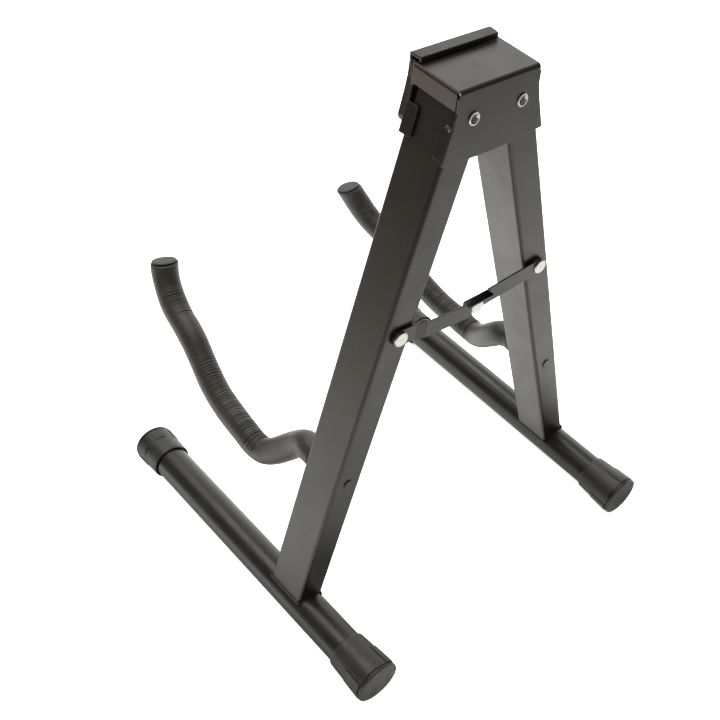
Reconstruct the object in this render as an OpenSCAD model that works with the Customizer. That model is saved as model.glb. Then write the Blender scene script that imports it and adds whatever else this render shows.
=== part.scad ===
// Folding A-frame stand for a guitar or bass: two rectangular legs hinged in a
// channel bracket at the top, each welded on a round floor bar with rubber end
// caps and carrying a bent, foam-covered cradle arm; a two-strap folding link
// with a stop tab holds the legs apart.
// X runs across the stand, -Y is the side the instrument rests on, +Z is up.
// The soles of the four end caps lie on z = 0.

/* [Stance] */
// Distance of each floor bar from the centre plane, millimetres
bar_x = 125; // [100:1:160]
// Height of the leg pivots above the floor bar axis
piv_z = 325.5; // [280:0.5:380]
// Distance of each leg pivot from the centre plane
piv_x = 16.4; // [14:0.2:24]
// Position of the legs in front-to-back direction
leg_y = 59.3; // [40:0.1:80]

/* [Leg tube] */
// Width of the leg tube across the stand
leg_w = 20; // [16:0.5:26]
// Depth of the leg tube front to back
leg_d = 30; // [24:0.5:40]
// Wall of the leg tube
leg_t = 1.5; // [1:0.1:2.5]
// Length of leg above the pivot
leg_top = 8.8; // [6:0.2:12]
// Height of the square cut foot of the leg above the bar axis
foot_z = 10; // [6:0.5:14]

/* [Floor bar and caps] */
// Outside diameter of the floor bar tube
bar_d = 25; // [20:0.5:32]
// Wall of the floor bar tube
bar_t = 1.5; // [1:0.1:2.5]
// Angle that each bar turns outwards towards its front end
toe = 0.67; // [0:0.01:2]
// Rear face of the rear cap, behind the legs
rear_end = 90; // [70:1:120]
// Front face of the front cap, in front of the legs
front_end = 179.5; // [150:0.5:230]
// Length of a rear cap
rear_cap_len = 33; // [25:0.5:50]
// Radius of a rear cap at its closed end
rear_cap_r = 16; // [14:0.1:20]
// Length of a front cap
front_cap_len = 26.5; // [20:0.5:50]
// Radius of a front cap at its closed end
front_cap_r = 14.9; // [14:0.1:20]
// Height of the bar axis above the flat sole
sole_h = 15.3; // [13.5:0.1:18]

/* [Bracket] */
// Sheet thickness of the channel
sheet = 1.2; // [1:0.1:2]
// Half width of the channel top
top_hw = 27.6; // [26:0.2:34]
// Rear edge of the channel top above the bar axis
top_z = 340.9; // [330:0.1:360]
// How much higher the front edge of the channel top lies
top_rise = 1.2; // [0:0.1:4]
// Sheet thickness of the front cover plate
cover_t = 1.5; // [1:0.1:2]
// Space between the channel and the cover plate
cover_gap = 2.6; // [0.2:0.1:5]

/* [Cradle arm] */
// Rod diameter
rod_d = 8; // [6:0.5:10]
// Outside diameter of the foam sleeve
foam_d = 18.5; // [14:0.5:24]

/* [Link] */
// Height of the link rivets on the legs above the bar axis
link_z = 209; // [150:1:260]
// Width of a link strap
strap_w = 10.5; // [8:0.5:14]
// Thickness of a link strap
strap_t = 1; // [0.8:0.1:2]
// Diameter of a flat link rivet head
head_d = 9.5; // [8:0.5:12]

/* [Hidden] */
$fn = 64;
th = atan((bar_x - piv_x) / piv_z);         // lean of a leg from the vertical
hw = leg_w / 2;
hd = leg_d / 2;
gap = 0.3;                                  // running gap beside a moving face
pin_r = 2.5;                                // shank radius of rivets and eyelets
bore_r = 2.55;                              // bore that turns on such a shank
rear_in = hd + gap;                         // inner face of the channel plates
rear_out = rear_in + sheet;
foot_l = -(piv_z - foot_z) / cos(th);       // foot of a leg along the leg
function along(z) = -(piv_z - z) / cos(th); // height z as a place along the leg
function leg_x(z) = bar_x - tan(th) * z;    // leg centre line

// cradle arm centre line in the leg's own plane: [y, height], then bend radii
arm_p = [[-15.3, 106.8], [-28.5, 106.8], [-62, 72.8], [-117.5, 80.2],
         [-156.7, 107.1], [-187.4, 117.2], [-200.8, 138.3]];
arm_r = [0, 14, 22, 40, 50, 28, 0];
arm_v = [for (p = arm_p) [p[0], along(p[1])]];
disc_t = 1.5;                               // plug at the end of a sleeve

// link layout, in the plane of the legs' rear faces
lx = leg_x(link_z);                         // leg rivets
mid = [-3.2, 203.6];                        // middle rivet
lift = atan((link_z - mid[1]) / (lx - mid[0]));
left_len = norm([lx - mid[0], link_z - mid[1]]);
strap_in = rear_in;                         // tongue of the left strap
strap_mid = strap_in + 0.7;                 // left strap on its washer
strap_out = strap_in + strap_t + gap;       // right strap, in front of the tongue
strap_front = strap_out + strap_t + gap;    // left strap, in front of the right one
web_z = 209.7;                              // top of the left strap's web
lobe_r = 4.5;

// ---- placing ---------------------------------------------------------------

// working coordinates: bar axis height, leg centre plane -> standing stand
module home() translate([0, leg_y, sole_h]) children();
module left() home() children();
module right() home() mirror([1, 0, 0]) children();
// leg coordinates: pivot at the origin, +Z up along the leg
module on_leg() translate([piv_x, 0, piv_z]) rotate([0, -th, 0]) children();
// bar coordinates: the bar turns outwards about a point just in front of the leg
module on_bar() translate([bar_x, -48, 0]) rotate([0, 0, toe]) translate([0, 48, 0]) children();
// an outline drawn in X and Z, made into a plate from y0 to y0 + t
module plate(y0, t) translate([0, y0 + t, 0]) rotate([90, 0, 0]) linear_extrude(t) children();
// an outline drawn in Y and Z, run along X from x0 to x1
module run_x(x0, x1) translate([x0, 0, 0]) rotate([90, 0, 90]) linear_extrude(x1 - x0) children();
// a round bar along Y from y0 to y1
module bar_y(y0, y1, r) translate([0, y1, 0]) rotate([90, 0, 0]) cylinder(h = y1 - y0, r = r);

module rounded(w, h, r) {
    square([w, h - 2 * r], center = true);
    square([w - 2 * r, h], center = true);
    for (x = [-1, 1], y = [-1, 1]) translate([x * (w / 2 - r), y * (h / 2 - r)]) circle(r);
}

// ---- bracket ---------------------------------------------------------------

// solid body of an inverted U, half depth h, top at z1 at the rear and rising
// towards the front, corners of radius r about the same centres for any r
module channel_body(h, z0, z1, r, k) {
    w = h - k;
    a = atan(top_rise / (2 * w));
    n = [sin(a), cos(a)];
    rear = [w, z1 - k];
    front = [-w, z1 - k + top_rise];
    polygon([[-w - r, z0], [-w - r, front[1]], front + r * n, rear + r * n, [w + r, rear[1]], [w + r, z0]]);
    translate(front) circle(r);
    translate(rear) circle(r);
}
module channel_2d(h, z0, z1, t, r) difference() {
    channel_body(h, z0, z1, r, r);
    channel_body(h, z0 - 1, z1, r - t, r);
}

// seen from the front: straight sides, then along the legs to height c, shallow bottom
module channel_outline(c) {
    polygon([[-26.6, top_z + 3], [26.6, top_z + 3], [26.6, top_z - 3.4], [27.4, top_z - 3.4],
             [27.4, 330.6], [leg_x(323) + 12.1, 323], [leg_x(c) + 12.1, c],
             [20, 304.7], [0, 304], [-20, 304.7], [-leg_x(c) - 12.1, c],
             [-leg_x(323) - 12.1, 323], [-27.4, 330.6], [-27.4, top_z - 3.4], [-26.6, top_z - 3.4]]);
}

// tab folded round the outer face of a leg, y0 to y1, s0 to s1 along the leg;
// its free edge has rounded corners
module leg_tab(y0, y1, s0, s1) {
    m = y0 > 0 ? 1 : -1;
    on_leg() translate([hw + gap, 0, 0]) rotate([90, 0, 90]) linear_extrude(sheet) {
        polygon(m > 0 ? [[y0 + 1.6, s0], [y1, s0], [y1, s1], [y0 + 1.6, s1], [y0, s1 - 1.6], [y0, s0 + 1.6]]
                      : [[y0, s0], [y1 - 1.6, s0], [y1, s0 + 1.6], [y1, s1 - 1.6], [y1 - 1.6, s1], [y0, s1]]);
        for (s = [s0 + 1.6, s1 - 1.6]) translate([m > 0 ? y0 + 1.6 : y1 - 1.6, s]) circle(1.6);
    }
}

// the top folded down at both sides, tilted as the top is
module side_flanges() {
    a = atan(top_rise / (2 * (rear_out - 2)));
    translate([0, rear_out - 2, top_z - 2]) rotate([-a, 0, 0]) translate([0, -rear_out + 2, -top_z + 2])
        translate([0, 15, 0]) rotate([90, 0, 0]) linear_extrude(30) difference() {
            union() {
                translate([-top_hw, 331]) square([2 * top_hw, top_z - 2 - 331]);
                translate([-top_hw + 2, 331]) square([2 * top_hw - 4, top_z - 331]);
                for (s = [-1, 1]) translate([s * (top_hw - 2), top_z - 2]) circle(2);
            }
            translate([-top_hw + sheet, 330]) square([2 * (top_hw - sheet), top_z - 2 - 330]);
            translate([-top_hw + 2, 330]) square([2 * (top_hw - 2), top_z - sheet - 330]);
            for (s = [-1, 1]) translate([s * (top_hw - 2), top_z - 2]) circle(2 - sheet);
        }
}

module channel_bracket() color([0.16, 0.16, 0.155]) home() {
    difference() {
        union() {
            intersection() {
                run_x(-40, 40) channel_2d(rear_out, 300, top_z, sheet, 2);
                union() {
                    plate(-20, 20.5) channel_outline(309);
                    plate(0, 20) channel_outline(306);
                }
            }
            side_flanges();
            for (m = [0, 1]) mirror([m, 0, 0]) {
                leg_tab(8.5, rear_out, -22.7, -7.4);
                leg_tab(-rear_out, -8.2, -21.2, -5.7);
            }
        }
        for (s = [-1, 1]) translate([s * piv_x, 0, piv_z]) bar_y(-20, 20, bore_r);
    }
}

// Front plate on two pressed bosses, folded back over the channel top and down
// again in a short lip. The plate widens downwards below the fold.
module cover_plate() color([0.15, 0.15, 0.145]) home() difference() {
    y0 = -rear_out - cover_gap - cover_t;
    top = 345.1;
    lip = 342.4;
    union() {
        plate(y0, cover_t) {
            polygon([[-23.9, 343.2], [25.1, 343.2], [26.3, 333.2], [28.4, 325], [31.2, 315.7], [27.4, 311.3],
                     [-27.4, 311.3], [-31.2, 315.7], [-28.4, 325], [-26.3, 333.2], [-25.7, 338]]);
            for (s = [-1, 1]) translate([s * 27.4, 315.1]) circle(3.8);
        }
        // sides folded back to the channel
        plate(y0 + 0.4, cover_t + cover_gap - 0.6) {
            polygon([[25.1, 341.8], [26.2, 333.2], [28.3, 325], [31.1, 315.7], [31, 314.4], [30.3, 313],
                     [29, 313.8], [29.7, 315.4], [27.1, 324.7], [25, 333], [23.8, 341.8]]);
            polygon([[-25.3, 338], [-26.2, 333.2], [-28.3, 325], [-31.1, 315.7], [-31, 314.4], [-30.3, 313],
                     [-29, 313.8], [-29.7, 315.4], [-27.1, 324.7], [-25, 333], [-24.2, 338]]);
        }
        for (s = [-1, 1]) translate([s * piv_x, 0, piv_z]) bar_y(y0 + cover_t - 0.1, -rear_out - 0.2, 4.6);
        intersection() {
            run_x(-40, 40) fold_2d(y0, -12, lip, top, cover_t, 1.6, 0.6);
            translate([0, 0, lip - 8]) linear_extrude(20) polygon([[25.2, y0 - 1], [25.8, y0 + 1.6], [25.8, -12.8],
                [25.2, -11], [-24.2, -11], [-24.9, -12.8], [-25.9, -18.2], [-25.4, y0 + 0.8], [-23.6, y0 - 1]]);
        }
    }
    for (s = [-1, 1]) translate([s * piv_x, 0, piv_z]) bar_y(-30, 0, bore_r);
}

// section of the fold: up at y0, over at z = top, down to z = lip at y1, with
// outer corner radii r and q
module fold_2d(y0, y1, lip, top, t, r, q) difference() {
    union() {
        translate([y0, 338]) square([t, top - r - 338]);
        translate([y0 + r, top - t]) square([y1 - y0 - r - q, t]);
        translate([y1 - t, lip]) square([t, top - q - lip]);
        translate([y0 + r, top - r]) circle(r);
        translate([y1 - q, top - q]) circle(q);
        translate([y1 - t - 0.1, top - t]) square([t - q + 0.1, t]);
    }
    translate([y0 + t, 337]) square([y1 - y0 - 2 * t, top - t - 337]);
}

// hollow rivets the legs turn on, with a flared mouth and a shallow floor at the rear
module pivot_eyelets() color([0.78, 0.78, 0.74]) home()
    for (s = [-1, 1]) translate([s * piv_x, rear_out, piv_z]) rotate([90, 0, 0]) {
        len = 2 * rear_out + cover_gap + cover_t;
        rotate_extrude() polygon([[0, 1.5], [1.4, 1.3], [1.9, 1], [2, 0.1], [2.45, -0.55], [2.65, -0.8],
            [3.25, -0.8], [3.5, -0.5], [3.5, 0], [pin_r, 0], [pin_r, len], [3.5, len], [3.5, len + 0.5],
            [3.2, len + 0.8], [1.9, len + 0.8], [1.7, len + 0.5], [1.7, 2.5], [0, 2.5]]);
    }

// ---- legs ------------------------------------------------------------------

module leg_tube() color([0.13, 0.13, 0.125]) difference() {
    on_leg() difference() {
        translate([0, 0, foot_l]) linear_extrude(leg_top - foot_l) difference() {
            rounded(leg_w, leg_d, 2.2);
            rounded(leg_w - 2 * leg_t, leg_d - 2 * leg_t, 0.8);
        }
        bar_y(-hd - 1, hd + 1, bore_r);
        translate([0, 0, along(106.8)]) bar_y(-hd - 1, hd + 1, rod_d / 2);
        translate([0, 0, along(link_z)]) bar_y(0, hd + 1, pin_r);
    }
    on_bar() bar_y(-hd - 4, hd + 4, bar_d / 2);
}

module floor_bar() color([0.13, 0.13, 0.125]) on_bar() difference() {
    bar_y(-front_end + 2.5, rear_end - 2.5, bar_d / 2);
    bar_y(-front_end, rear_end, bar_d / 2 - bar_t);
}

// fillets of weld where the square cut foot meets the round bar
module weld_beads() color([0.2, 0.2, 0.19]) difference() {
    on_leg() for (s = [-1, 1]) translate([s * (hw - 0.3), 0, foot_l - 1.6])
        bar_y(-hd - 0.4, hd + 0.4, 2.5);
    on_leg() translate([0, 0, foot_l]) linear_extrude(20) square([leg_w, leg_d + 4], center = true);
    on_bar() bar_y(-hd - 4, hd + 4, bar_d / 2);
}

// end cap along +Z from its closed face, sole towards -Y: radius r1 at the
// closed end and r0 at the mouth, which stands loose round the bar; six raised
// panels of the given length lie between the groove and the middle
module cap(len, r0, r1, turn, panel) difference() {
    slope = (r1 - r0) / (len - 2.9);
    union() {
        rotate_extrude() polygon([[0, 0], [r1 - 1.1, 0], [r1 - 0.3, 0.4], [r1, 1.2], [r1, 2],
            [r1 - 0.7, 2.2], [r1 - 0.7, 2.7], [r1, 2.9], [r0 + 0.1, len - 0.8], [r0 - 0.2, len],
            [r0 - 0.8, len], [bar_d / 2 + 0.05, len - 8], [bar_d / 2 + 0.05, 2.5], [0, 2.5]]);
        for (i = [0 : 5]) rotate([0, 0, turn + 75 + i * 60]) rotate_extrude(angle = 30)
            polygon([[r1 - 2, 3.4], [r1 + 0.5, 3.4], [r1 + 0.5 - slope * panel, 3.4 + panel],
                     [r1 - 2, 3.4 + panel]]);
        // the sole, as wide as the mouth is round
        translate([-5.5, -sole_h, 1.2]) cube([11, 5, 14]);
    }
    translate([-30, -sole_h - 20, -1]) cube([60, 20, len + 2]);
    translate([0, 0, 2.5]) cylinder(h = len, r = bar_d / 2 + 0.05);
}

module rear_cap() color([0.11, 0.11, 0.105]) on_bar() translate([0, rear_end, 0]) rotate([90, 0, 0])
    cap(rear_cap_len, 13.9, rear_cap_r, -10, 15.6);
module front_cap() color([0.11, 0.11, 0.105]) on_bar() translate([0, -front_end, 0]) rotate([90, 0, 180])
    cap(front_cap_len, 14.2, front_cap_r, -6, 8.8);

// ---- cradle arm ------------------------------------------------------------

function dir(v, i) = atan2(v[i + 1][1] - v[i][1], v[i + 1][0] - v[i][0]);
function wrap(a) = a > 180 ? a - 360 : (a < -180 ? a + 360 : a);
function turn_at(v, i) = (i == 0 || i == len(v) - 1) ? 0 : wrap(dir(v, i) - dir(v, i - 1));
function cut_at(v, r, i) = r[i] * tan(abs(turn_at(v, i)) / 2);

// a round section swept along straight runs and true arcs in the Y-Z plane; the
// runs reach a little way into the bends, which are a hair thicker
module sweep(v, r, ro, ri, trim = 0) rotate([90, 0, 90]) {
    n = len(v);
    hair = 0.05;
    for (i = [0 : n - 2]) {
        d = dir(v, i);
        a = cut_at(v, r, i) - (i == 0 ? 0 : 0.4);
        b = i == n - 2 ? trim : cut_at(v, r, i + 1) - 0.4;
        span = norm(v[i + 1] - v[i]) - a - b;
        translate([v[i][0] + a * cos(d), v[i][1] + a * sin(d), 0]) rotate([0, 0, d]) rotate([0, 90, 0])
            linear_extrude(span) ring(ro - hair, ri == 0 ? 0 : ri + hair);
    }
    for (i = [1 : n - 2]) {
        t = turn_at(v, i);
        d = dir(v, i - 1);
        a = cut_at(v, r, i);
        s = t > 0 ? 1 : -1;
        // start of the bend, its centre, and the ray from the centre to the start
        p = [v[i][0] - a * cos(d), v[i][1] - a * sin(d)];
        c = [p[0] - s * r[i] * sin(d), p[1] + s * r[i] * cos(d)];
        g = d - s * 90;
        translate([c[0], c[1], 0]) rotate([0, 0, s > 0 ? g : g + t]) rotate_extrude(angle = abs(t))
            translate([r[i], 0]) ring(ro, ri);
    }
}

module ring(ro, ri) difference() {
    circle(ro);
    if (ri > 0) circle(ri);
}

module arm_rod() color([0.5, 0.5, 0.48]) on_leg() {
    union() {
        sweep(arm_v, arm_r, rod_d / 2, 0, disc_t + 0.2);
        translate([0, 0, along(106.8)]) bar_y(-15.7, hd, rod_d / 2);
        translate([0, 0, along(106.8)]) bar_y(hd, hd + 0.7, 3.2);
    }
}

module arm_sleeve() color([0.22, 0.21, 0.19]) on_leg()
    sweep(arm_v, arm_r, foam_d / 2, rod_d / 2, disc_t);

module arm_end_disc() color([0.29, 0.28, 0.26]) on_leg() {
    n = len(arm_v);
    d = dir(arm_v, n - 2);
    rotate([90, 0, 90]) translate([arm_v[n - 1][0] - disc_t * cos(d), arm_v[n - 1][1] - disc_t * sin(d), 0])
        rotate([0, 0, d]) rotate([0, 90, 0]) linear_extrude(disc_t) circle(foam_d / 2 - 0.3);
}

// ---- link ------------------------------------------------------------------

// flat headed rivet along +Y: shank from y0 to the head at y1
module rivet(y0, y1) {
    bar_y(y0, y1, pin_r);
    translate([0, y1, 0]) rotate([-90, 0, 0]) rotate_extrude()
        polygon([[0, 0], [head_d / 2, 0], [head_d / 2, 0.7], [head_d / 2 - 0.5, 1.2], [0, 1.3]]);
}

// left strap coordinates: origin at its leg rivet, +X towards the middle rivet
module on_left_strap() translate([lx, 0, link_z]) rotate([0, -lift, 0]) mirror([1, 0, 0]) children();

// One folded sheet: a plate riveted to the leg, joggled out to the front plane,
// and at its end a web over the top with a rear wall that holds the middle
// rivet. The right strap turns between the two walls.
module left_strap() color([0.15, 0.15, 0.145]) home() difference() {
    h = strap_w / 2;
    union() {
        on_left_strap() intersection() {
            translate([0, 0, -20]) linear_extrude(40) polygon([[-7, strap_mid], [-7, strap_mid + strap_t],
                [11.5, strap_mid + strap_t], [18, strap_front + strap_t], [60, strap_front + strap_t],
                [60, strap_front], [19, strap_front], [12.5, strap_mid]]);
            plate(10, 12) {
                circle(h);
                polygon([[0, -h], [55.2, -h], [53.7, -1.6], [53.5, 0.6], [50.2, h], [0, h]]);
            }
        }
        // rear wall with the pivot lobe
        plate(strap_in, strap_t) {
            polygon([[6.4, web_z], [-13.1, web_z], [-13.1, web_z - 3], [-7, web_z - 3],
                     [mid[0], mid[1] - 4.4], [6.4, mid[1] - 3.3]]);
            translate(mid) circle(lobe_r);
        }
        // web, and the block that stops the right strap
        translate([-13.1, strap_in, web_z - 1]) cube([19.5, 21.2 - strap_in, 1]);
        translate([-13.1, strap_in, web_z - 3]) cube([3.9, strap_front + strap_t - strap_in, 3]);
        plate(strap_out, strap_t) polygon([[-11.5, 211.8], [-13.1, 212], [-13.1, web_z - 0.5], [-12.7, web_z - 0.5]]);
        // rounded lug behind the top edge, beside the leg
        on_left_strap() intersection() {
            translate([11.8, strap_in + 0.15, 0]) cube([13.5, 1.3, 6]);
            translate([15.7, 0, -3.4]) bar_y(10, 22, 8.9);
        }
    }
    translate([lx, 0, link_z]) bar_y(10, 22, bore_r);
    translate([mid[0], 0, mid[1]]) bar_y(10, 22, bore_r);
}

module right_strap() color([0.17, 0.17, 0.165]) home() difference() {
    h = strap_w / 2;
    c = function(x) 206.3 + (mid[0] - x) * tan(2.7);
    plate(strap_out, strap_t) {
        translate([-lx, c(-lx)]) circle(h);
        polygon([[-lx, c(-lx) - h], [mid[0], c(mid[0]) - h], [mid[0] + 1, mid[1]], [-6.2, web_z - 3.3],
                 [-13.4, web_z - 3.3], [-13.4, c(-13.4) + h], [-lx, c(-lx) + h]]);
        translate(mid) circle(lobe_r);
    }
    translate([-lx, 0, link_z]) bar_y(10, 22, pin_r);
    translate([mid[0], 0, mid[1]]) bar_y(10, 22, pin_r);
}

module left_link_rivet() color([0.86, 0.86, 0.82]) translate([lx, 0, link_z]) {
    rivet(hd - leg_t - 1, strap_mid + strap_t + gap);
    bar_y(hd - leg_t - 1.4, hd - leg_t, 4);
}
module left_strap_washer() color([0.7, 0.7, 0.67]) home() translate([lx, 0, link_z]) difference() {
    bar_y(strap_in, strap_mid, 4.4);
    bar_y(0, 30, bore_r);
}
module right_link_rivet() color([0.86, 0.86, 0.82]) home() translate([-lx, 0, link_z])
    rivet(strap_in, strap_out + strap_t);
module right_strap_spacer() color([0.7, 0.7, 0.67]) home() translate([-lx, 0, link_z]) difference() {
    bar_y(strap_in, strap_out, 4.4);
    bar_y(0, 30, pin_r);
}
module middle_link_rivet() color([0.86, 0.86, 0.82]) home() translate([mid[0], 0, mid[1]])
    rivet(strap_in + 0.1, strap_out + strap_t);

// ---- assembly --------------------------------------------------------------

channel_bracket();
cover_plate();
pivot_eyelets();
left() leg_tube();  // left_leg_tube
left() floor_bar();  // left_floor_bar
left() weld_beads();  // left_weld_beads
left() front_cap();  // left_front_cap
left() rear_cap();  // left_rear_cap
left() arm_rod();  // left_arm_rod
left() arm_sleeve();  // left_arm_sleeve
left() arm_end_disc();  // left_arm_end_disc
left() left_link_rivet();
right() leg_tube();  // right_leg_tube
right() floor_bar();  // right_floor_bar
right() weld_beads();  // right_weld_beads
right() front_cap();  // right_front_cap
right() rear_cap();  // right_rear_cap
right() arm_rod();  // right_arm_rod
right() arm_sleeve();  // right_arm_sleeve
right() arm_end_disc();  // right_arm_end_disc
left_strap();
left_strap_washer();
right_strap();
right_strap_spacer();
right_link_rivet();
middle_link_rivet();
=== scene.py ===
import math

import bpy
import numpy as np
from mathutils import Matrix, Vector


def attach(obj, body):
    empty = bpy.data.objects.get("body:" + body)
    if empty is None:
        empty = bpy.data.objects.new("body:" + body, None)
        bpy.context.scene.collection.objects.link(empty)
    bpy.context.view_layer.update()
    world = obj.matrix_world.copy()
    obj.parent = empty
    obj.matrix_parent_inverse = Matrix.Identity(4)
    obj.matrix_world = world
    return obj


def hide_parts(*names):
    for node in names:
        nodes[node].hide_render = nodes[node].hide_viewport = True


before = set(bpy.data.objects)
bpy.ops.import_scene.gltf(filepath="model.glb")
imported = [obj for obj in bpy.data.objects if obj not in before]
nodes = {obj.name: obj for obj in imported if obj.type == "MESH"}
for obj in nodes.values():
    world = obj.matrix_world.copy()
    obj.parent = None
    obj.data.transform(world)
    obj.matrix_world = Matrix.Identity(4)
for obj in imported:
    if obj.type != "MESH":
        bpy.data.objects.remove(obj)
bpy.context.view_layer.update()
scene = bpy.context.scene

# ---- the stand's own numbers, repeated from the part's source, in metres ----

LEG_Y = 0.0593            # leg centre plane
AXIS_Z = 0.0153           # floor bar axis above the floor
BAR_X = 0.125
PIV_X, PIV_Z = 0.0164, 0.3255
LEAN = math.atan((BAR_X - PIV_X) / PIV_Z)
BAR_R = 0.0125
FOAM_R = 0.00925


def place(x, y, z, side=1):
    """Bar axis height and leg centre plane to the frame, in millimetres; side -1 mirrors."""
    return Vector((side * x / 1000, y / 1000 + LEG_Y, z / 1000 + AXIS_Z))


# ---- material helpers --------------------------------------------------------

def new_mat(name):
    m = bpy.data.materials.new(name)
    m.use_nodes = True
    t = m.node_tree
    b = t.nodes["Principled BSDF"]
    return m, t, b


def node(t, kind, **kw):
    n = t.nodes.new(kind)
    for k, v in kw.items():
        setattr(n, k, v)
    return n


def coords(t, scale=(1, 1, 1)):
    c = node(t, "ShaderNodeTexCoord")
    m = node(t, "ShaderNodeMapping")
    m.inputs["Scale"].default_value = scale
    t.links.new(c.outputs["Object"], m.inputs["Vector"])
    return m.outputs["Vector"]


def noise(t, vec, scale, detail=4.0, rough=0.55):
    n = node(t, "ShaderNodeTexNoise")
    n.inputs["Scale"].default_value = scale
    n.inputs["Detail"].default_value = detail
    n.inputs["Roughness"].default_value = rough
    t.links.new(vec, n.inputs["Vector"])
    return n.outputs["Fac"]


def ramp(t, fac, stops):
    r = node(t, "ShaderNodeValToRGB")
    e = r.color_ramp.elements
    while len(e) < len(stops):
        e.new(0.5)
    for i, (p, c) in enumerate(stops):
        e[i].position = p
        e[i].color = (c[0], c[1], c[2], 1) if len(c) > 1 else (c[0], c[0], c[0], 1)
    t.links.new(fac, r.inputs["Fac"])
    return r.outputs["Color"]


def remap(t, fac, lo, hi, a=0.0, b=1.0):
    m = node(t, "ShaderNodeMapRange")
    m.inputs["From Min"].default_value = a
    m.inputs["From Max"].default_value = b
    m.inputs["To Min"].default_value = lo
    m.inputs["To Max"].default_value = hi
    t.links.new(fac, m.inputs["Value"])
    return m.outputs["Result"]


def mix(t, fac, a, b, kind="MIX"):
    m = node(t, "ShaderNodeMix", data_type="RGBA", blend_type=kind)
    if isinstance(fac, (int, float)):
        m.inputs[0].default_value = fac
    else:
        t.links.new(fac, m.inputs[0])
    for sock, v in ((m.inputs[6], a), (m.inputs[7], b)):
        if isinstance(v, tuple):
            sock.default_value = (v[0], v[1], v[2], 1)
        else:
            t.links.new(v, sock)
    return m.outputs[2]


def bump(t, bsdf, height, strength, dist, prev=None):
    b = node(t, "ShaderNodeBump")
    b.inputs["Strength"].default_value = strength
    b.inputs["Distance"].default_value = dist
    t.links.new(height, b.inputs["Height"])
    if prev is not None:
        t.links.new(prev, b.inputs["Normal"])
    t.links.new(b.outputs["Normal"], bsdf.inputs["Normal"])
    return b.outputs["Normal"]


def soft_edges(t, radius):
    """Sheet and tube edges carry a small radius of paint that catches the light."""
    n = node(t, "ShaderNodeBevel", samples=6)
    n.inputs["Radius"].default_value = radius
    return n.outputs["Normal"]


def math_node(t, op, a, b=None, c=None):
    m = node(t, "ShaderNodeMath", operation=op)
    for k, v in enumerate((a, b, c)):
        if v is None:
            continue
        if isinstance(v, (int, float)):
            m.inputs[k].default_value = v
        else:
            t.links.new(v, m.inputs[k])
    return m.outputs[0]


def xyz(t):
    c = node(t, "ShaderNodeTexCoord")
    s_ = node(t, "ShaderNodeSeparateXYZ")
    t.links.new(c.outputs["Object"], s_.inputs["Vector"])
    return s_.outputs["X"], s_.outputs["Y"], s_.outputs["Z"]


def ball(t, centre, r0, r1):
    """1 inside a small ball at a point of the stand, 0 outside, in metres."""
    c = node(t, "ShaderNodeTexCoord")
    d = node(t, "ShaderNodeVectorMath", operation="DISTANCE")
    t.links.new(c.outputs["Object"], d.inputs[0])
    d.inputs[1].default_value = tuple(centre)
    return remap(t, d.outputs["Value"], 1.0, 0.0, r0, r1)


def powder(name, dark, light, rough=0.38, peel=0.10, edge=0.0004, tone=None, gloss=None, rim=0.0, plain=None, worn=()):
    """Satin powder coat on steel: near black with a faint warm mottle and a fine orange peel.
    tone paints light and shade into the coat's colour; plain masks what keeps its edges free of
    rubbed paint and painted edge highlight; worn lists spots where the paint is rubbed off."""
    m, t, b = new_mat(name)
    v = coords(t)
    broad = noise(t, v, 9.0, 3.0)
    fine = noise(t, v, 260.0, 5.0, 0.6)
    col = ramp(t, broad, [(0.32, dark), (0.68, light)])
    speck = ramp(t, fine, [(0.35, (0.82,)), (0.75, (1.12,))])
    col = mix(t, 1.0, col, speck, "MULTIPLY")
    if tone is not None:
        col = tone(t, col)
    round_ = soft_edges(t, edge)
    if rim:
        # rubbed edges and painted edge highlight: lighter where the rounding turns the surface away from the sheet
        g = node(t, "ShaderNodeNewGeometry")
        d = node(t, "ShaderNodeVectorMath", operation="DOT_PRODUCT")
        t.links.new(round_, d.inputs[0])
        t.links.new(g.outputs["Normal"], d.inputs[1])
        edge_rub_and_highlight = remap(t, d.outputs["Value"], rim, 0.0, 0.86, 0.985)
        edge_rub_and_highlight = math_node(t, "MULTIPLY", edge_rub_and_highlight, remap(t, noise(t, v, 300.0, 3.0), 0.3, 1.0, 0.40, 0.60))
        if plain is not None:
            edge_rub_and_highlight = math_node(t, "MULTIPLY", edge_rub_and_highlight, math_node(t, "SUBTRACT", 1.0, plain(t)))
        col = mix(t, edge_rub_and_highlight, col, (0.052, 0.046, 0.038))
    bare = None
    for centre, r0, r1, tint in worn:
        spot = ball(t, centre, r0, r1)
        ragged = remap(t, noise(t, v, 1500.0, 3.0, 0.6), 0.0, 1.0, 0.32, 0.50)
        spot = math_node(t, "MULTIPLY", spot, ragged)
        col = mix(t, spot, col, tint)
        bare = spot if bare is None else math_node(t, "MAXIMUM", bare, spot)
    t.links.new(col, b.inputs["Base Color"])
    if bare is not None:
        t.links.new(bare, b.inputs["Metallic"])
    shine = remap(t, noise(t, v, 38.0, 4.0), rough - 0.05, rough + 0.07, 0.3, 0.7)
    if gloss is not None:
        shine = gloss(t, shine)
    t.links.new(shine, b.inputs["Roughness"])
    b.inputs["IOR"].default_value = 1.5
    n1 = bump(t, b, noise(t, v, 620.0, 3.0, 0.5), peel, 0.0004, round_)
    bump(t, b, fine, peel * 0.6, 0.0006, n1)
    return m


def rubber(name, dark, light, rough=0.62):
    m, t, b = new_mat(name)
    v = coords(t)
    col = ramp(t, noise(t, v, 55.0, 6.0, 0.62), [(0.3, dark), (0.7, light)])
    t.links.new(col, b.inputs["Base Color"])
    t.links.new(remap(t, noise(t, v, 180.0, 4.0), rough - 0.08, rough + 0.1, 0.3, 0.7), b.inputs["Roughness"])
    b.inputs["IOR"].default_value = 1.5
    n1 = bump(t, b, noise(t, v, 1400.0, 4.0, 0.6), 0.22, 0.0003)
    bump(t, b, noise(t, v, 120.0, 3.0), 0.12, 0.0008, n1)
    return m


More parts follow.
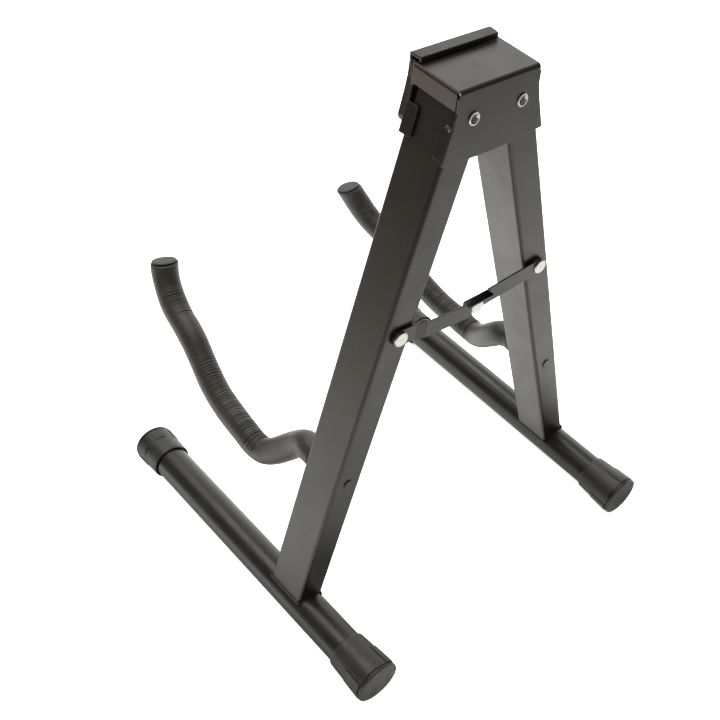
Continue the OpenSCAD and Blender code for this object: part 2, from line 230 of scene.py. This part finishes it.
def foam_mat(name, dark, light, rough=0.7, cell=2600.0):
    """Closed-cell foam: warm dark grey, tiny pores, a dull skin."""
    m, t, b = new_mat(name)
    v = coords(t)
    vor = node(t, "ShaderNodeTexVoronoi")
    vor.inputs["Scale"].default_value = cell
    t.links.new(v, vor.inputs["Vector"])
    pores = remap(t, vor.outputs["Distance"], 0.0, 1.0, 0.0, 0.6)
    broad = noise(t, v, 45.0, 5.0, 0.6)
    col = ramp(t, broad, [(0.3, dark), (0.7, light)])
    grain = ramp(t, noise(t, v, 900.0, 4.0, 0.65), [(0.3, (0.78,)), (0.72, (1.18,))])
    t.links.new(mix(t, 1.0, col, grain, "MULTIPLY"), b.inputs["Base Color"])
    t.links.new(remap(t, broad, rough - 0.06, rough + 0.08, 0.3, 0.7), b.inputs["Roughness"])
    b.inputs["Sheen Weight"].default_value = 0.06
    b.inputs["Sheen Roughness"].default_value = 0.5
    n1 = bump(t, b, pores, 0.25, 0.0002)
    bump(t, b, noise(t, v, 700.0, 4.0, 0.6), 0.2, 0.0005, n1)
    return m


def zinc(name, a, b_, rough=0.33, hollow_painted_light=None):
    """Plated steel; the mask given marks where a light, matt grey-olive colour is painted in as reflected light."""
    m, t, b = new_mat(name)
    v = coords(t)
    col = ramp(t, noise(t, v, 420.0, 5.0, 0.6), [(0.3, a), (0.7, b_)])
    if hollow_painted_light is not None:
        # painted reflected light: a light, matt grey-olive colour in the hollows
        mask = hollow_painted_light(t)
        col = mix(t, mask, col, (0.130, 0.125, 0.096))
        t.links.new(math_node(t, "SUBTRACT", 1.0, mask), b.inputs["Metallic"])
    else:
        b.inputs["Metallic"].default_value = 1.0
    t.links.new(col, b.inputs["Base Color"])
    t.links.new(remap(t, noise(t, v, 800.0, 4.0), rough - 0.07, rough + 0.1, 0.3, 0.7), b.inputs["Roughness"])
    bump(t, b, noise(t, v, 1500.0, 3.0), 0.12, 0.0002)
    return m


def flange_painted_light(t, col):
    """Painted light: the folded side flanges of the bracket are coloured browner than its plates as a painted warm
    reflection, and its tabs darker as painted shade.
    """
    x, y, z = xyz(t)
    side = remap(t, math_node(t, "ABSOLUTE", x), 0.0, 1.0, 0.0262, 0.0272)
    deep = remap(t, math_node(t, "ABSOLUTE", math_node(t, "SUBTRACT", y, LEG_Y)), 1.0, 0.0, 0.0148, 0.0154)
    side = math_node(t, "MULTIPLY", side, deep)
    # painted warm reflection: the upper side flanges are coloured browner
    high = remap(t, z, 0.0, 1.0, 0.3436, 0.3446)
    col = mix(t, math_node(t, "MULTIPLY", side, high), col, (0.0130, 0.0060, 0.0020))
    # painted shade: the tabs below are coloured darker
    low = remap(t, z, 1.0, 0.0, 0.3390, 0.3400)
    col = mix(t, math_node(t, "MULTIPLY", side, low), col, (0.0034, 0.0029, 0.0024))
    # painted warm reflection: the folded sides of the front cover are coloured lighter and browner
    side = remap(t, math_node(t, "ABSOLUTE", x), 0.0, 1.0, 0.0238, 0.0246)
    rel = math_node(t, "SUBTRACT", y, LEG_Y)
    thin = math_node(t, "MULTIPLY", remap(t, rel, 0.0, 1.0, -0.0204, -0.0202), remap(t, rel, 1.0, 0.0, -0.0168, -0.0166))
    col = mix(t, math_node(t, "MULTIPLY", side, thin), col, (0.0150, 0.0090, 0.0075))
    # painted shade: the top of the folded lip and its cut ends are coloured darker
    col = mix(t, remap(t, z, 0.0, 0.8, 0.3592, 0.3600), col, (0.0020, 0.0018, 0.0016))
    return mix(t, lip_end(t), col, (0.0014, 0.0012, 0.0011))


def lip_end(t):
    """1 at the cut ends of the folded lip."""
    x, y, z = xyz(t)
    out = remap(t, math_node(t, "ABSOLUTE", x), 0.0, 1.0, 0.0248, 0.0250)
    return math_node(t, "MULTIPLY", out, remap(t, z, 0.0, 1.0, 0.3572, 0.3574))


def lip_gloss(t, shine):
    """The top of the folded lip is duller than the plates."""
    x, y, z = xyz(t)
    return math_node(t, "ADD", shine, remap(t, z, 0.0, 0.16, 0.3592, 0.3600))


def in_eyelet(t):
    """1 in the hollow of the eyelets at the rear, where reflected light is painted in."""
    x, y, z = xyz(t)
    dx = math_node(t, "SUBTRACT", math_node(t, "ABSOLUTE", x), PIV_X)
    dz = math_node(t, "SUBTRACT", z, PIV_Z + AXIS_Z)
    d = math_node(t, "SQRT", math_node(t, "ADD", math_node(t, "MULTIPLY", dx, dx), math_node(t, "MULTIPLY", dz, dz)))
    return remap(t, d, 1.0, 0.0, 0.0019, 0.0022)


def on_web(t):
    """1 on the web over the end of the left strap."""
    x, y, z = xyz(t)
    near = math_node(t, "MULTIPLY", remap(t, x, 1.0, 0.0, 0.0066, 0.0070), remap(t, x, 0.0, 1.0, -0.0134, -0.0130))
    return math_node(t, "MULTIPLY", near, remap(t, z, 0.0, 1.0, 0.2243, 0.2247))


def web_painted_shadow(t, col):
    """Painted shadow: the web is coloured blacker than the straps, for the shade over it."""
    return mix(t, on_web(t), col, (0.0012, 0.0010, 0.0010))


def web_gloss(t, shine):
    """The web is smoother than the straps, 0.16 rough."""
    w = on_web(t)
    keep = math_node(t, "MULTIPLY", shine, math_node(t, "SUBTRACT", 1.0, w))
    return math_node(t, "ADD", keep, math_node(t, "MULTIPLY", w, 0.16))


TAB = Vector((PIV_X, LEG_Y, PIV_Z + AXIS_Z))


def on_tab(xl, y, zl):
    """Leg coordinates of the left leg, millimetres."""
    c, s_ = math.cos(LEAN), math.sin(LEAN)
    return TAB + Vector((xl * c - zl * s_, y, xl * s_ + zl * c)) / 1000


LEG = powder("leg_coat", (0.0046, 0.0041, 0.0035), (0.0070, 0.0062, 0.0053), rough=0.33,
             worn=[(on_tab(10.2, 10.6, -6.8), 0.0002, 0.0009, (0.40, 0.33, 0.20)),
                   (on_tab(10.2, 12.2, -7.0), 0.0002, 0.0009, (0.42, 0.33, 0.18)),
                   (on_tab(10.2, 13.8, -7.2), 0.0002, 0.0009, (0.44, 0.34, 0.18))])
PLATE = powder("bracket_coat", (0.0062, 0.0052, 0.0042), (0.0090, 0.0078, 0.0064), rough=0.35, tone=flange_painted_light,
               gloss=lip_gloss, rim=0.75, plain=lip_end,
               worn=[((0.0272, LEG_Y + 0.0160, AXIS_Z + 0.3400), 0.0004, 0.0010, (0.9, 0.9, 0.86)),
                     (on_tab(11.2, 14.0, -7.5), 0.0002, 0.0009, (0.40, 0.31, 0.18))])
STRAP = powder("link_coat", (0.0062, 0.0054, 0.0048), (0.0092, 0.0082, 0.0073), rough=0.34, edge=0.00025, tone=web_painted_shadow, gloss=web_gloss)
CAP = rubber("cap_rubber", (0.0074, 0.0069, 0.0062), (0.0114, 0.0107, 0.0097), rough=0.42)
FOAM = foam_mat("arm_foam", (0.0092, 0.0074, 0.0050), (0.0152, 0.0124, 0.0086), rough=0.43)
FOAM_CUT = foam_mat("arm_foam_cut", (0.017, 0.0158, 0.0128), (0.023, 0.0214, 0.0178), rough=0.7, cell=1500.0)
ZINC = zinc("rivet_zinc", (0.46, 0.455, 0.42), (0.58, 0.575, 0.54), rough=0.3, hollow_painted_light=in_eyelet)
ROD = zinc("rod_steel", (0.30, 0.29, 0.28), (0.42, 0.41, 0.40), rough=0.42)

for n, o in nodes.items():
    if n in ("channel_bracket", "cover_plate"):
        mat = PLATE
    elif "rivet" in n or "eyelet" in n or "washer" in n or "spacer" in n:
        mat = ZINC
    elif "strap" in n:
        mat = STRAP
    elif "cap" in n:
        mat = CAP
    elif "disc" in n:
        mat = FOAM_CUT
    elif "sleeve" in n:
        mat = FOAM
    elif "rod" in n:
        mat = LEG
    else:
        mat = LEG
    o.data.materials.clear()
    o.data.materials.append(mat)

# ---- mesh helpers ------------------------------------------------------------


def make(name, verts, faces, mat, smooth=True):
    me = bpy.data.meshes.new(name)
    me.from_pydata([tuple(v) for v in verts], [], faces)
    me.update()
    ob = bpy.data.objects.new(name, me)
    scene.collection.objects.link(ob)
    me.materials.append(mat)
    for p in me.polygons:
        p.use_smooth = smooth
    return ob


def catmull(pts, per):
    """A smooth curve through the points, per steps in each span."""
    p = [2 * pts[0] - pts[1]] + list(pts) + [2 * pts[-1] - pts[-2]]
    out = []
    for i in range(1, len(p) - 2):
        for k in range(per):
            t = k / per
            a, b, c, d = p[i - 1], p[i], p[i + 1], p[i + 2]
            out.append(0.5 * ((2 * b) + (c - a) * t + (2 * a - 5 * b + 4 * c - d) * t * t
                              + (3 * b - a - 3 * c + d) * t ** 3))
    out.append(p[-2])
    return out


def even(pts, step):
    """The same curve with points at even distances."""
    d = [0.0]
    for a, b in zip(pts, pts[1:]):
        d.append(d[-1] + (b - a).length)
    n = max(2, int(round(d[-1] / step)))
    out, j = [], 0
    for i in range(n + 1):
        s = d[-1] * i / n
        while j < len(pts) - 2 and d[j + 1] < s:
            j += 1
        f = (s - d[j]) / max(1e-12, d[j + 1] - d[j])
        out.append(pts[j].lerp(pts[j + 1], min(1, max(0, f))))
    return out, d[-1]


# ---- foam sleeves ------------------------------------------------------------

# centre line of the left sleeve, millimetres, from the leg's front face to the tip
ARM = [(89.6, -15.3, 106.6), (89.6, -22, 106.7), (88.4, -29.5, 104.4), (89.2, -38, 97),
       (92, -46, 88.6), (95.6, -54, 80.6), (98.6, -62.5, 75), (99.6, -73, 74), (99.2, -84, 75.4),
       (98.6, -95, 76.8), (98, -105.7, 78.6), (97.3, -116.5, 81.6), (96.3, -125.8, 85.8),
       (95, -134.5, 91.4), (93.6, -142.8, 97.5), (92.1, -151.9, 103.8), (90.9, -161.2, 108.6),
       (89.9, -171, 112.2), (88.4, -180.6, 116.6), (86.5, -188.6, 122.6), (83.9, -195.9, 131),
       (81.2, -200.0, 138.2)]
STEP = 0.00027
END = (-0.10, -0.26, 0.96)      # the cut at the tip is not square to the sleeve


def smooth(a):
    a = min(1.0, max(0.0, a))
    return a * a * (3 - 2 * a)


def sleeve(name, side):
    """The bent foam tube: fine folds lie across the inside of every bend."""
    path, total = even(catmull([place(x, y, z, side) for x, y, z in ARM], 16), STEP)
    n = len(path)
    seg = 84
    tang = []
    for i in range(n):
        a, b = path[max(0, i - 4)], path[min(n - 1, i + 4)]
        tang.append((b - a).normalized())
    raw = []
    for i in range(n):
        a, b = max(0, i - 14), min(n - 1, i + 14)
        raw.append((tang[b] - tang[a]) / ((b - a) * STEP))
    pre = [Vector((0, 0, 0))]
    for c in raw:
        pre.append(pre[-1] + c)
    curv = []
    for i in range(n):
        a, b = max(0, i - 12), min(n, i + 13)
        curv.append((pre[b] - pre[a]) / (b - a))
    rng = np.random.default_rng(7 if side > 0 else 11)
    ph = rng.uniform(0, 6.28, 10)
    up = Vector((side * -math.sin(LEAN), 0, math.cos(LEAN)))
    end = Vector((side * END[0], END[1], END[2])).normalized()
    ang = 2 * np.pi * np.arange(seg) / seg
    ca, sa = np.cos(ang), np.sin(ang)
    rows = []
    for i, (c, t) in enumerate(zip(path, tang)):
        s = i / (n - 1) * total
        x = t.cross(up).normalized()
        y = x.cross(t).normalized()
        k = curv[i].length
        inner = curv[i].normalized() if k > 1e-6 else y
        amount = smooth((k - 2.0) / 9.0) * (0.55 + 0.45 * smooth((k - 12.0) / 16.0))
        # the long low stretch before the first bend is crumpled along its top
        yy = (c.y - LEG_Y) * 1000
        base = smooth((yy + 147) / 8) * smooth((-64 - yy) / 5)
        amount = max(amount, base * (0.62 + 0.38 * smooth((yy + 100) / 20)))
        if base > 0.5:
            inner = y
        # past the bend, towards the leg, the foam is nearly smooth
        amount *= 1 - 0.82 * smooth((yy + 66.5) / 4)
        # no folds where the foam is held straight at both ends
        amount *= smooth((s - 0.012) / 0.012) * smooth((total - s - 0.0145) / 0.006)
        d = np.outer(ca, x) + np.outer(sa, y)
        facing = np.clip(d @ np.array(inner) + 0.5, 0, None) / 1.5
        w = amount * facing
        # folds about 1.9 mm apart, wandering a little round the tube, uneven in depth
        wander = 1.5 * math.sin(s * 310 + ph[2]) + 0.9 * math.sin(s * 690 + ph[6])
        wave = np.sin(s * 3300 + wander + 0.8 * np.sin(2 * ang + ph[3]) + 0.35 * np.sin(5 * ang + s * 160 + ph[7]))
        deep = 0.6 + 0.4 * math.sin(s * 1130 + ph[4]) * math.sin(s * 470 + ph[5])
        fold = (0.5 + 0.5 * wave) ** 2.2
        # a few deeper creases in the tightest bends
        tight = smooth((k - 17.0) / 14.0)
        big = np.clip(np.sin(s * 2350 + 0.7 * np.sin(ang + ph[8]) + ph[9]), 0, None) ** 4
        r = FOAM_R + 0.00025 * smooth((s - total + 0.045) / 0.02) + 0.00010 * math.sin(s * 95 + ph[0]) + 0.00006 * math.sin(s * 210 + ph[1])
        e = s if s < total / 2 else total - s
        lip = 0.0009
        if e < lip:
            r -= lip - math.sqrt(max(0.0, lip ** 2 - (lip - e) ** 2))
        rad = r + w * (0.00010 - 0.00088 * fold * deep - 0.00075 * tight * big)
        rad = rad + 0.000015 * np.sin(s * 2900 + 3 * ang + ph[5])
        v = np.array(c) + d * rad[:, None]
        # towards the tip the rings lean over to the slanting cut
        lean = smooth(1 - (total - s) / 0.010)
        if lean > 0:
            nrm = np.array((t * (1 - lean) + end * lean).normalized())
            off = -((v - np.array(c)) @ nrm) / float(np.array(t) @ nrm)
            v = v + np.outer(off, np.array(t))
        rows.append(v)
    verts = [tuple(p) for row in rows for p in row]
    faces = []
    for i in range(n - 1):
        for j in range(seg):
            a, b = i * seg + j, i * seg + (j + 1) % seg
            faces.append((a, b, b + seg, a + seg))
    walls = len(faces)
    # closed ends; the one at the tip is a shallow dish for its disc
    for first, c, nrm, sgn in ((0, path[0], -tang[0], -1), ((n - 1) * seg, path[-1], end, 1)):
        ring = list(range(first, first + seg))
        prev = ring
        for f, dip in ((0.90, 0.00025), (0.80, 0.0006), (0.45, 0.0006)):
            cur = []
            for j in ring:
                cur.append(len(verts))
                verts.append(tuple(c + (Vector(verts[j]) - c) * f - nrm * (dip if sgn > 0 else 0)))
            for q in range(seg):
                r_ = (q + 1) % seg
                f4 = (prev[q], prev[r_], cur[r_], cur[q])
                faces.append(f4 if sgn > 0 else tuple(reversed(f4)))
            prev = cur
        mc = len(verts)
        verts.append(tuple(c - nrm * (0.0006 if sgn > 0 else 0)))
        for q in range(seg):
            f3 = (prev[q], prev[(q + 1) % seg], mc)
            faces.append(f3 if sgn > 0 else tuple(reversed(f3)))
    ob = make(name, verts, faces, FOAM)
    ob.data.materials.append(FOAM_CUT)
    for p in ob.data.polygons:
        if p.index >= walls:
            p.material_index = 1
    return ob, path[-1], end


def lathe(name, centre, axis, profile, mat, seg=72, wob=0.0, seed=1):
    """Closed turned form about the axis, from (radius, height) pairs, in metres."""
    axis = axis.normalized()
    x = axis.cross(Vector((0.31, 0.9, 0.2))).normalized()
    y = axis.cross(x).normalized()
    ph = np.random.default_rng(seed).uniform(0, 6.28, 3)
    verts, faces = [], []
    for r, h in profile:
        for j in range(seg):
            a = 2 * math.pi * j / seg
            q = r * (1 + wob * math.sin(2 * a + ph[0]) + 0.6 * wob * math.sin(3 * a + ph[1]))
            verts.append(centre + (x * math.cos(a) + y * math.sin(a)) * q + axis * h)
    for i in range(len(profile) - 1):
        for j in range(seg):
            a, b = i * seg + j, i * seg + (j + 1) % seg
            faces.append((a, b, b + seg, a + seg))
    lo, hi = len(verts), len(verts) + 1
    verts.append(centre + axis * profile[0][1])
    verts.append(centre + axis * profile[-1][1])
    m = (len(profile) - 1) * seg
    for j in range(seg):
        faces.append((lo, (j + 1) % seg, j))
        faces.append((hi, m + j, m + (j + 1) % seg))
    return make(name, verts, faces, mat)


def end_disc(name, side, tip, nrm):
    """Cut disc pressed on the end of the sleeve; its near side stands a little proud."""
    tilt = (nrm - Vector((side * 0.035, 0.045, 0)) * 1.2).normalized()
    e = 0.00028
    prof = [(0.0060, -0.0003), (0.0082, -0.0003), (0.0087 - e, 0.0), (0.0087, e), (0.0087, 0.0009 - e),
            (0.0087 - e, 0.0009), (0.0080, 0.00098), (0.0045, 0.00102)]
    return lathe(name, tip + nrm * 0.00035 - Vector((side * 0.0002, 0.0003, 0)), tilt, prof, FOAM_CUT,
                 wob=0.006, seed=4 + side)


for side, word in ((1, "left"), (-1, "right")):
    s, tip, nrm = sleeve(word + "_foam_sleeve", side)
    d = end_disc(word + "_foam_end", side, tip, nrm)
    for o, cad in ((s, "_arm_sleeve"), (d, "_arm_end_disc")):
        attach(o, word + "_leg")
        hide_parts(word + cad)

# ---- weld beads --------------------------------------------------------------


def leg_point(xl, y, zl, side):
    """Leg coordinates in millimetres (pivot at the origin, z up along the leg) to the frame."""
    c, s = math.cos(LEAN), math.sin(LEAN)
    return place(16.4 + xl * c - zl * s, y, 325.5 + xl * s + zl * c, side)


def bead(name, side, inner):
    """A fillet of weld along the foot of the leg, in overlapping ripples."""
    foot = -315.5 / math.cos(LEAN)
    sx = -1 if inner else 1
    verts, faces = [], []
    n, seg = 150, 18
    rng = np.random.default_rng(3 + 5 * inner + side)
    wob = rng.uniform(0, 6.28, 3)
    for i in range(n + 1):
        u = i / n
        y = -16.2 + 32.4 * u
        end = min(u, 1 - u) * 32.4
        grow = min(1.0, (0.25 + end / 2.2))
        ripple = abs(math.sin(math.pi * y / 2.1 + 0.6 * math.sin(y * 0.7 + wob[0])))
        r = grow * (1.45 + 0.20 * ripple + 0.10 * math.sin(y * 0.55 + wob[1]))
        for j in range(seg):
            a = 2 * math.pi * j / seg
            xl = sx * 9.45 + r * math.cos(a)
            zl = foot - 1.15 + r * math.sin(a)
            verts.append(leg_point(xl, y, zl, side))
    for i in range(n):
        for j in range(seg):
            a, b = i * seg + j, i * seg + (j + 1) % seg
            faces.append((a, b, b + seg, a + seg))
    faces.append(tuple(reversed(range(seg))))
    faces.append(tuple(range(n * seg, (n + 1) * seg)))
    return make(name, verts, faces, LEG)


for side, word in ((1, "left"), (-1, "right")):
    a = bead(word + "_weld_outer", side, False)
    b = bead(word + "_weld_inner", side, True)
    for o in (a, b):
        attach(o, word + "_leg")
    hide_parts(word + "_weld_beads")

# ---- floor, light, camera ----------------------------------------------------


def sheet(name, half, z):
    me = bpy.data.meshes.new(name)
    me.from_pydata([(-half, -half, z), (half, -half, z), (half, half, z), (-half, half, z)], [], [(0, 1, 2, 3)])
    o = bpy.data.objects.new(name, me)
    scene.collection.objects.link(o)
    return o


# white paper, lit evenly and well over white
floor = sheet("floor", 9.0, 0.0)
floor.visible_glossy = False
fm, ft, fb = new_mat("floor_paper")
ft.links.new(ramp(ft, noise(ft, coords(ft), 3.0, 3.0), [(0.2, (0.86,)), (0.8, (0.9,))]), fb.inputs["Base Color"])
fb.inputs["Roughness"].default_value = 0.9
fb.inputs["Specular IOR Level"].default_value = 0.1
fb.inputs["Emission Color"].default_value = (1, 1, 1, 1)
fb.inputs["Emission Strength"].default_value = 0.75
floor.data.materials.append(fm)

# painted reflection: a glowing sheet seen only in reflections stands in for the paper the coat mirrors, bright round
# the stand, dim far away
glow = sheet("floor_painted_reflection", 9.0, -0.0006)
glow.visible_camera = glow.visible_diffuse = glow.visible_shadow = glow.visible_transmission = False
gm = bpy.data.materials.new("floor_glow")
gm.use_nodes = True
gt = gm.node_tree
gt.nodes.clear()
gout = node(gt, "ShaderNodeOutputMaterial")
gem = node(gt, "ShaderNodeEmission")
gt.links.new(gem.outputs[0], gout.inputs["Surface"])
gx, gy, gz = xyz(gt)


def bell(t, v, centre, width):
    """exp of minus the square of (v - centre) / width"""
    q_ = math_node(t, "DIVIDE", math_node(t, "SUBTRACT", v, centre), width)
    return math_node(t, "EXPONENT", math_node(t, "MULTIPLY", math_node(t, "MULTIPLY", q_, q_), -1.0))


# falls off with distance; painted shadow makes it darker behind and between the legs and close along the bars
d2 = math_node(gt, "ADD", math_node(gt, "MULTIPLY", gx, gx), math_node(gt, "MULTIPLY", gy, gy))
q = math_node(gt, "POWER", math_node(gt, "DIVIDE", math_node(gt, "SQRT", d2), 0.8), 2.6)
q = math_node(gt, "MULTIPLY_ADD", math_node(gt, "DIVIDE", 2.15, math_node(gt, "ADD", q, 1.0)), 1.0, 0.26)
painted_stand_shadow = math_node(gt, "MULTIPLY", bell(gt, gx, 0.02, 0.14), bell(gt, gy, 0.09, 0.16))
q = math_node(gt, "MULTIPLY", q, math_node(gt, "MULTIPLY_ADD", painted_stand_shadow, -0.57, 1.0))
# painted shade near the leg feet, and one brighter painted patch in front of the left leg
for cx, cy, w_, k in ((0.085, 0.100, 0.034, -0.85), (-0.145, 0.100, 0.034, -0.70), (-0.140, 0.170, 0.030, -0.45),
                      (0.080, -0.045, 0.085, 0.20)):
    spot = math_node(gt, "MULTIPLY", bell(gt, gx, cx, w_), bell(gt, gy, cy, w_ * 1.2))
    q = math_node(gt, "MULTIPLY", q, math_node(gt, "MULTIPLY_ADD", spot, k, 1.0))
painted_bar_shadow = bell(gt, math_node(gt, "ABSOLUTE", gx), 0.135, 0.035)
painted_bar_shadow = math_node(gt, "MULTIPLY", painted_bar_shadow, remap(gt, math_node(gt, "ABSOLUTE", gy), 1.0, 0.0, 0.14, 0.20))
q = math_node(gt, "MULTIPLY", q, math_node(gt, "MULTIPLY_ADD", painted_bar_shadow, -0.8, 1.0))
q = math_node(gt, "MULTIPLY", q, remap(gt, gy, 1.0, 0.8, 0.0, 0.12))
gt.links.new(q, gem.inputs["Strength"])
# the painted reflection turns browner farther out
warm = remap(gt, math_node(gt, "MULTIPLY_ADD", gy, -0.6, gx), 0.0, 1.0, 0.1, 2.1)
gt.links.new(mix(gt, warm, (1.0, 0.985, 0.945), (1.0, 0.80, 0.66)), gem.inputs["Color"])
glow.data.materials.append(gm)


def light(name, kind, loc, target, energy, **kw):
    l = bpy.data.lights.new(name, kind)
    l.energy = energy
    for k, v in kw.items():
        setattr(l, k, v)
    o = bpy.data.objects.new(name, l)
    scene.collection.objects.link(o)
    o.location = loc
    o.rotation_euler = (Vector(target) - Vector(loc)).to_track_quat("-Z", "Y").to_euler()
    return o


wide = light("wide_fill", "SUN", (-0.2, -0.5, 2), (0, 0, 0), 5.2, angle=math.radians(110))
wide.visible_glossy = False
light("softbox", "AREA", (-0.03, -0.68, 1.27), (-0.10, 0.01, 0.2), 7.2, shape="RECTANGLE", size=1.3, size_y=0.5)
light("overhead", "AREA", (0.0, -0.12, 1.95), (0, 0.05, 0.2), 8.0, shape="RECTANGLE", size=1.4, size_y=0.6)

world = bpy.data.worlds.new("studio")
scene.world = world
world.use_nodes = True
wt = world.node_tree
bg = wt.nodes["Background"]
tc = wt.nodes.new("ShaderNodeTexCoord")
sep = wt.nodes.new("ShaderNodeSeparateXYZ")
wt.links.new(tc.outputs["Generated"], sep.inputs["Vector"])


def step(t, v, lo, hi):
    m = node(t, "ShaderNodeMapRange", interpolation_type="SMOOTHSTEP")
    m.inputs["From Min"].default_value = lo
    m.inputs["From Max"].default_value = hi
    t.links.new(v, m.inputs["Value"])
    return m.outputs["Result"]


flat = wt.nodes.new("ShaderNodeVectorMath")
flat.operation = "MULTIPLY"
flat.inputs[1].default_value = (1, 1, 0)
wt.links.new(tc.outputs["Generated"], flat.inputs[0])
nrm = wt.nodes.new("ShaderNodeVectorMath")
nrm.operation = "NORMALIZE"
wt.links.new(flat.outputs[0], nrm.inputs[0])
dot = wt.nodes.new("ShaderNodeVectorMath")
dot.operation = "DOT_PRODUCT"
az = math.radians(-146)
dot.inputs[1].default_value = (math.cos(az), math.sin(az), 0)
wt.links.new(nrm.outputs[0], dot.inputs[0])
drop = math_node(wt, "MULTIPLY", step(wt, dot.outputs["Value"], 0.62, 0.90), step(wt, sep.outputs["Z"], 0.66, 0.50))
dark = step(wt, sep.outputs["Z"], 0.55, 0.95)
room = mix(wt, dark, (0.20, 0.174, 0.152), (0.42, 0.40, 0.38))
shade = wt.nodes.new("ShaderNodeVectorMath")
shade.operation = "DOT_PRODUCT"
shade.inputs[1].default_value = (math.cos(math.radians(120)), math.sin(math.radians(120)), 0)
wt.links.new(nrm.outputs[0], shade.inputs[0])
room = mix(wt, math_node(wt, "MULTIPLY", step(wt, shade.outputs["Value"], 0.1, 0.75), 0.85), room, (0.01, 0.009, 0.008))
seen = mix(wt, drop, room, (1.98, 1.95, 1.88))
path_ = wt.nodes.new("ShaderNodeLightPath")
wt.links.new(mix(wt, path_.outputs["Is Camera Ray"], seen, (0.985, 0.985, 0.985)), bg.inputs["Color"])
bg.inputs["Strength"].default_value = 1.0

scene.view_settings.view_transform = "Standard"
scene.view_settings.look = "None"
scene.view_settings.exposure = 0.0
scene.view_settings.gamma = 1.0

cam_data = bpy.data.cameras.new("camera")
cam = bpy.data.objects.new("camera", cam_data)
scene.collection.objects.link(cam)
scene.camera = cam
right = Vector((-0.72812, 0.67861, 0.09664))
up = Vector((-0.47017, -0.59703, 0.65000))
back = Vector((0.49879, 0.42784, 0.75377))
rot = Matrix((right, up, back)).transposed().to_4x4()
cam.matrix_world = Matrix.Translation(place(306.221, 287.704, 537.216)) @ rot
cam_data.sensor_fit = "HORIZONTAL"
cam_data.sensor_width = 36
cam_data.lens = 893.723 / 720 * 36
cam_data.shift_x = -100 / 720
cam_data.shift_y = 100 / 720
cam_data.clip_start = 0.01
cam_data.clip_end = 50
cam_data.dof.use_dof = False
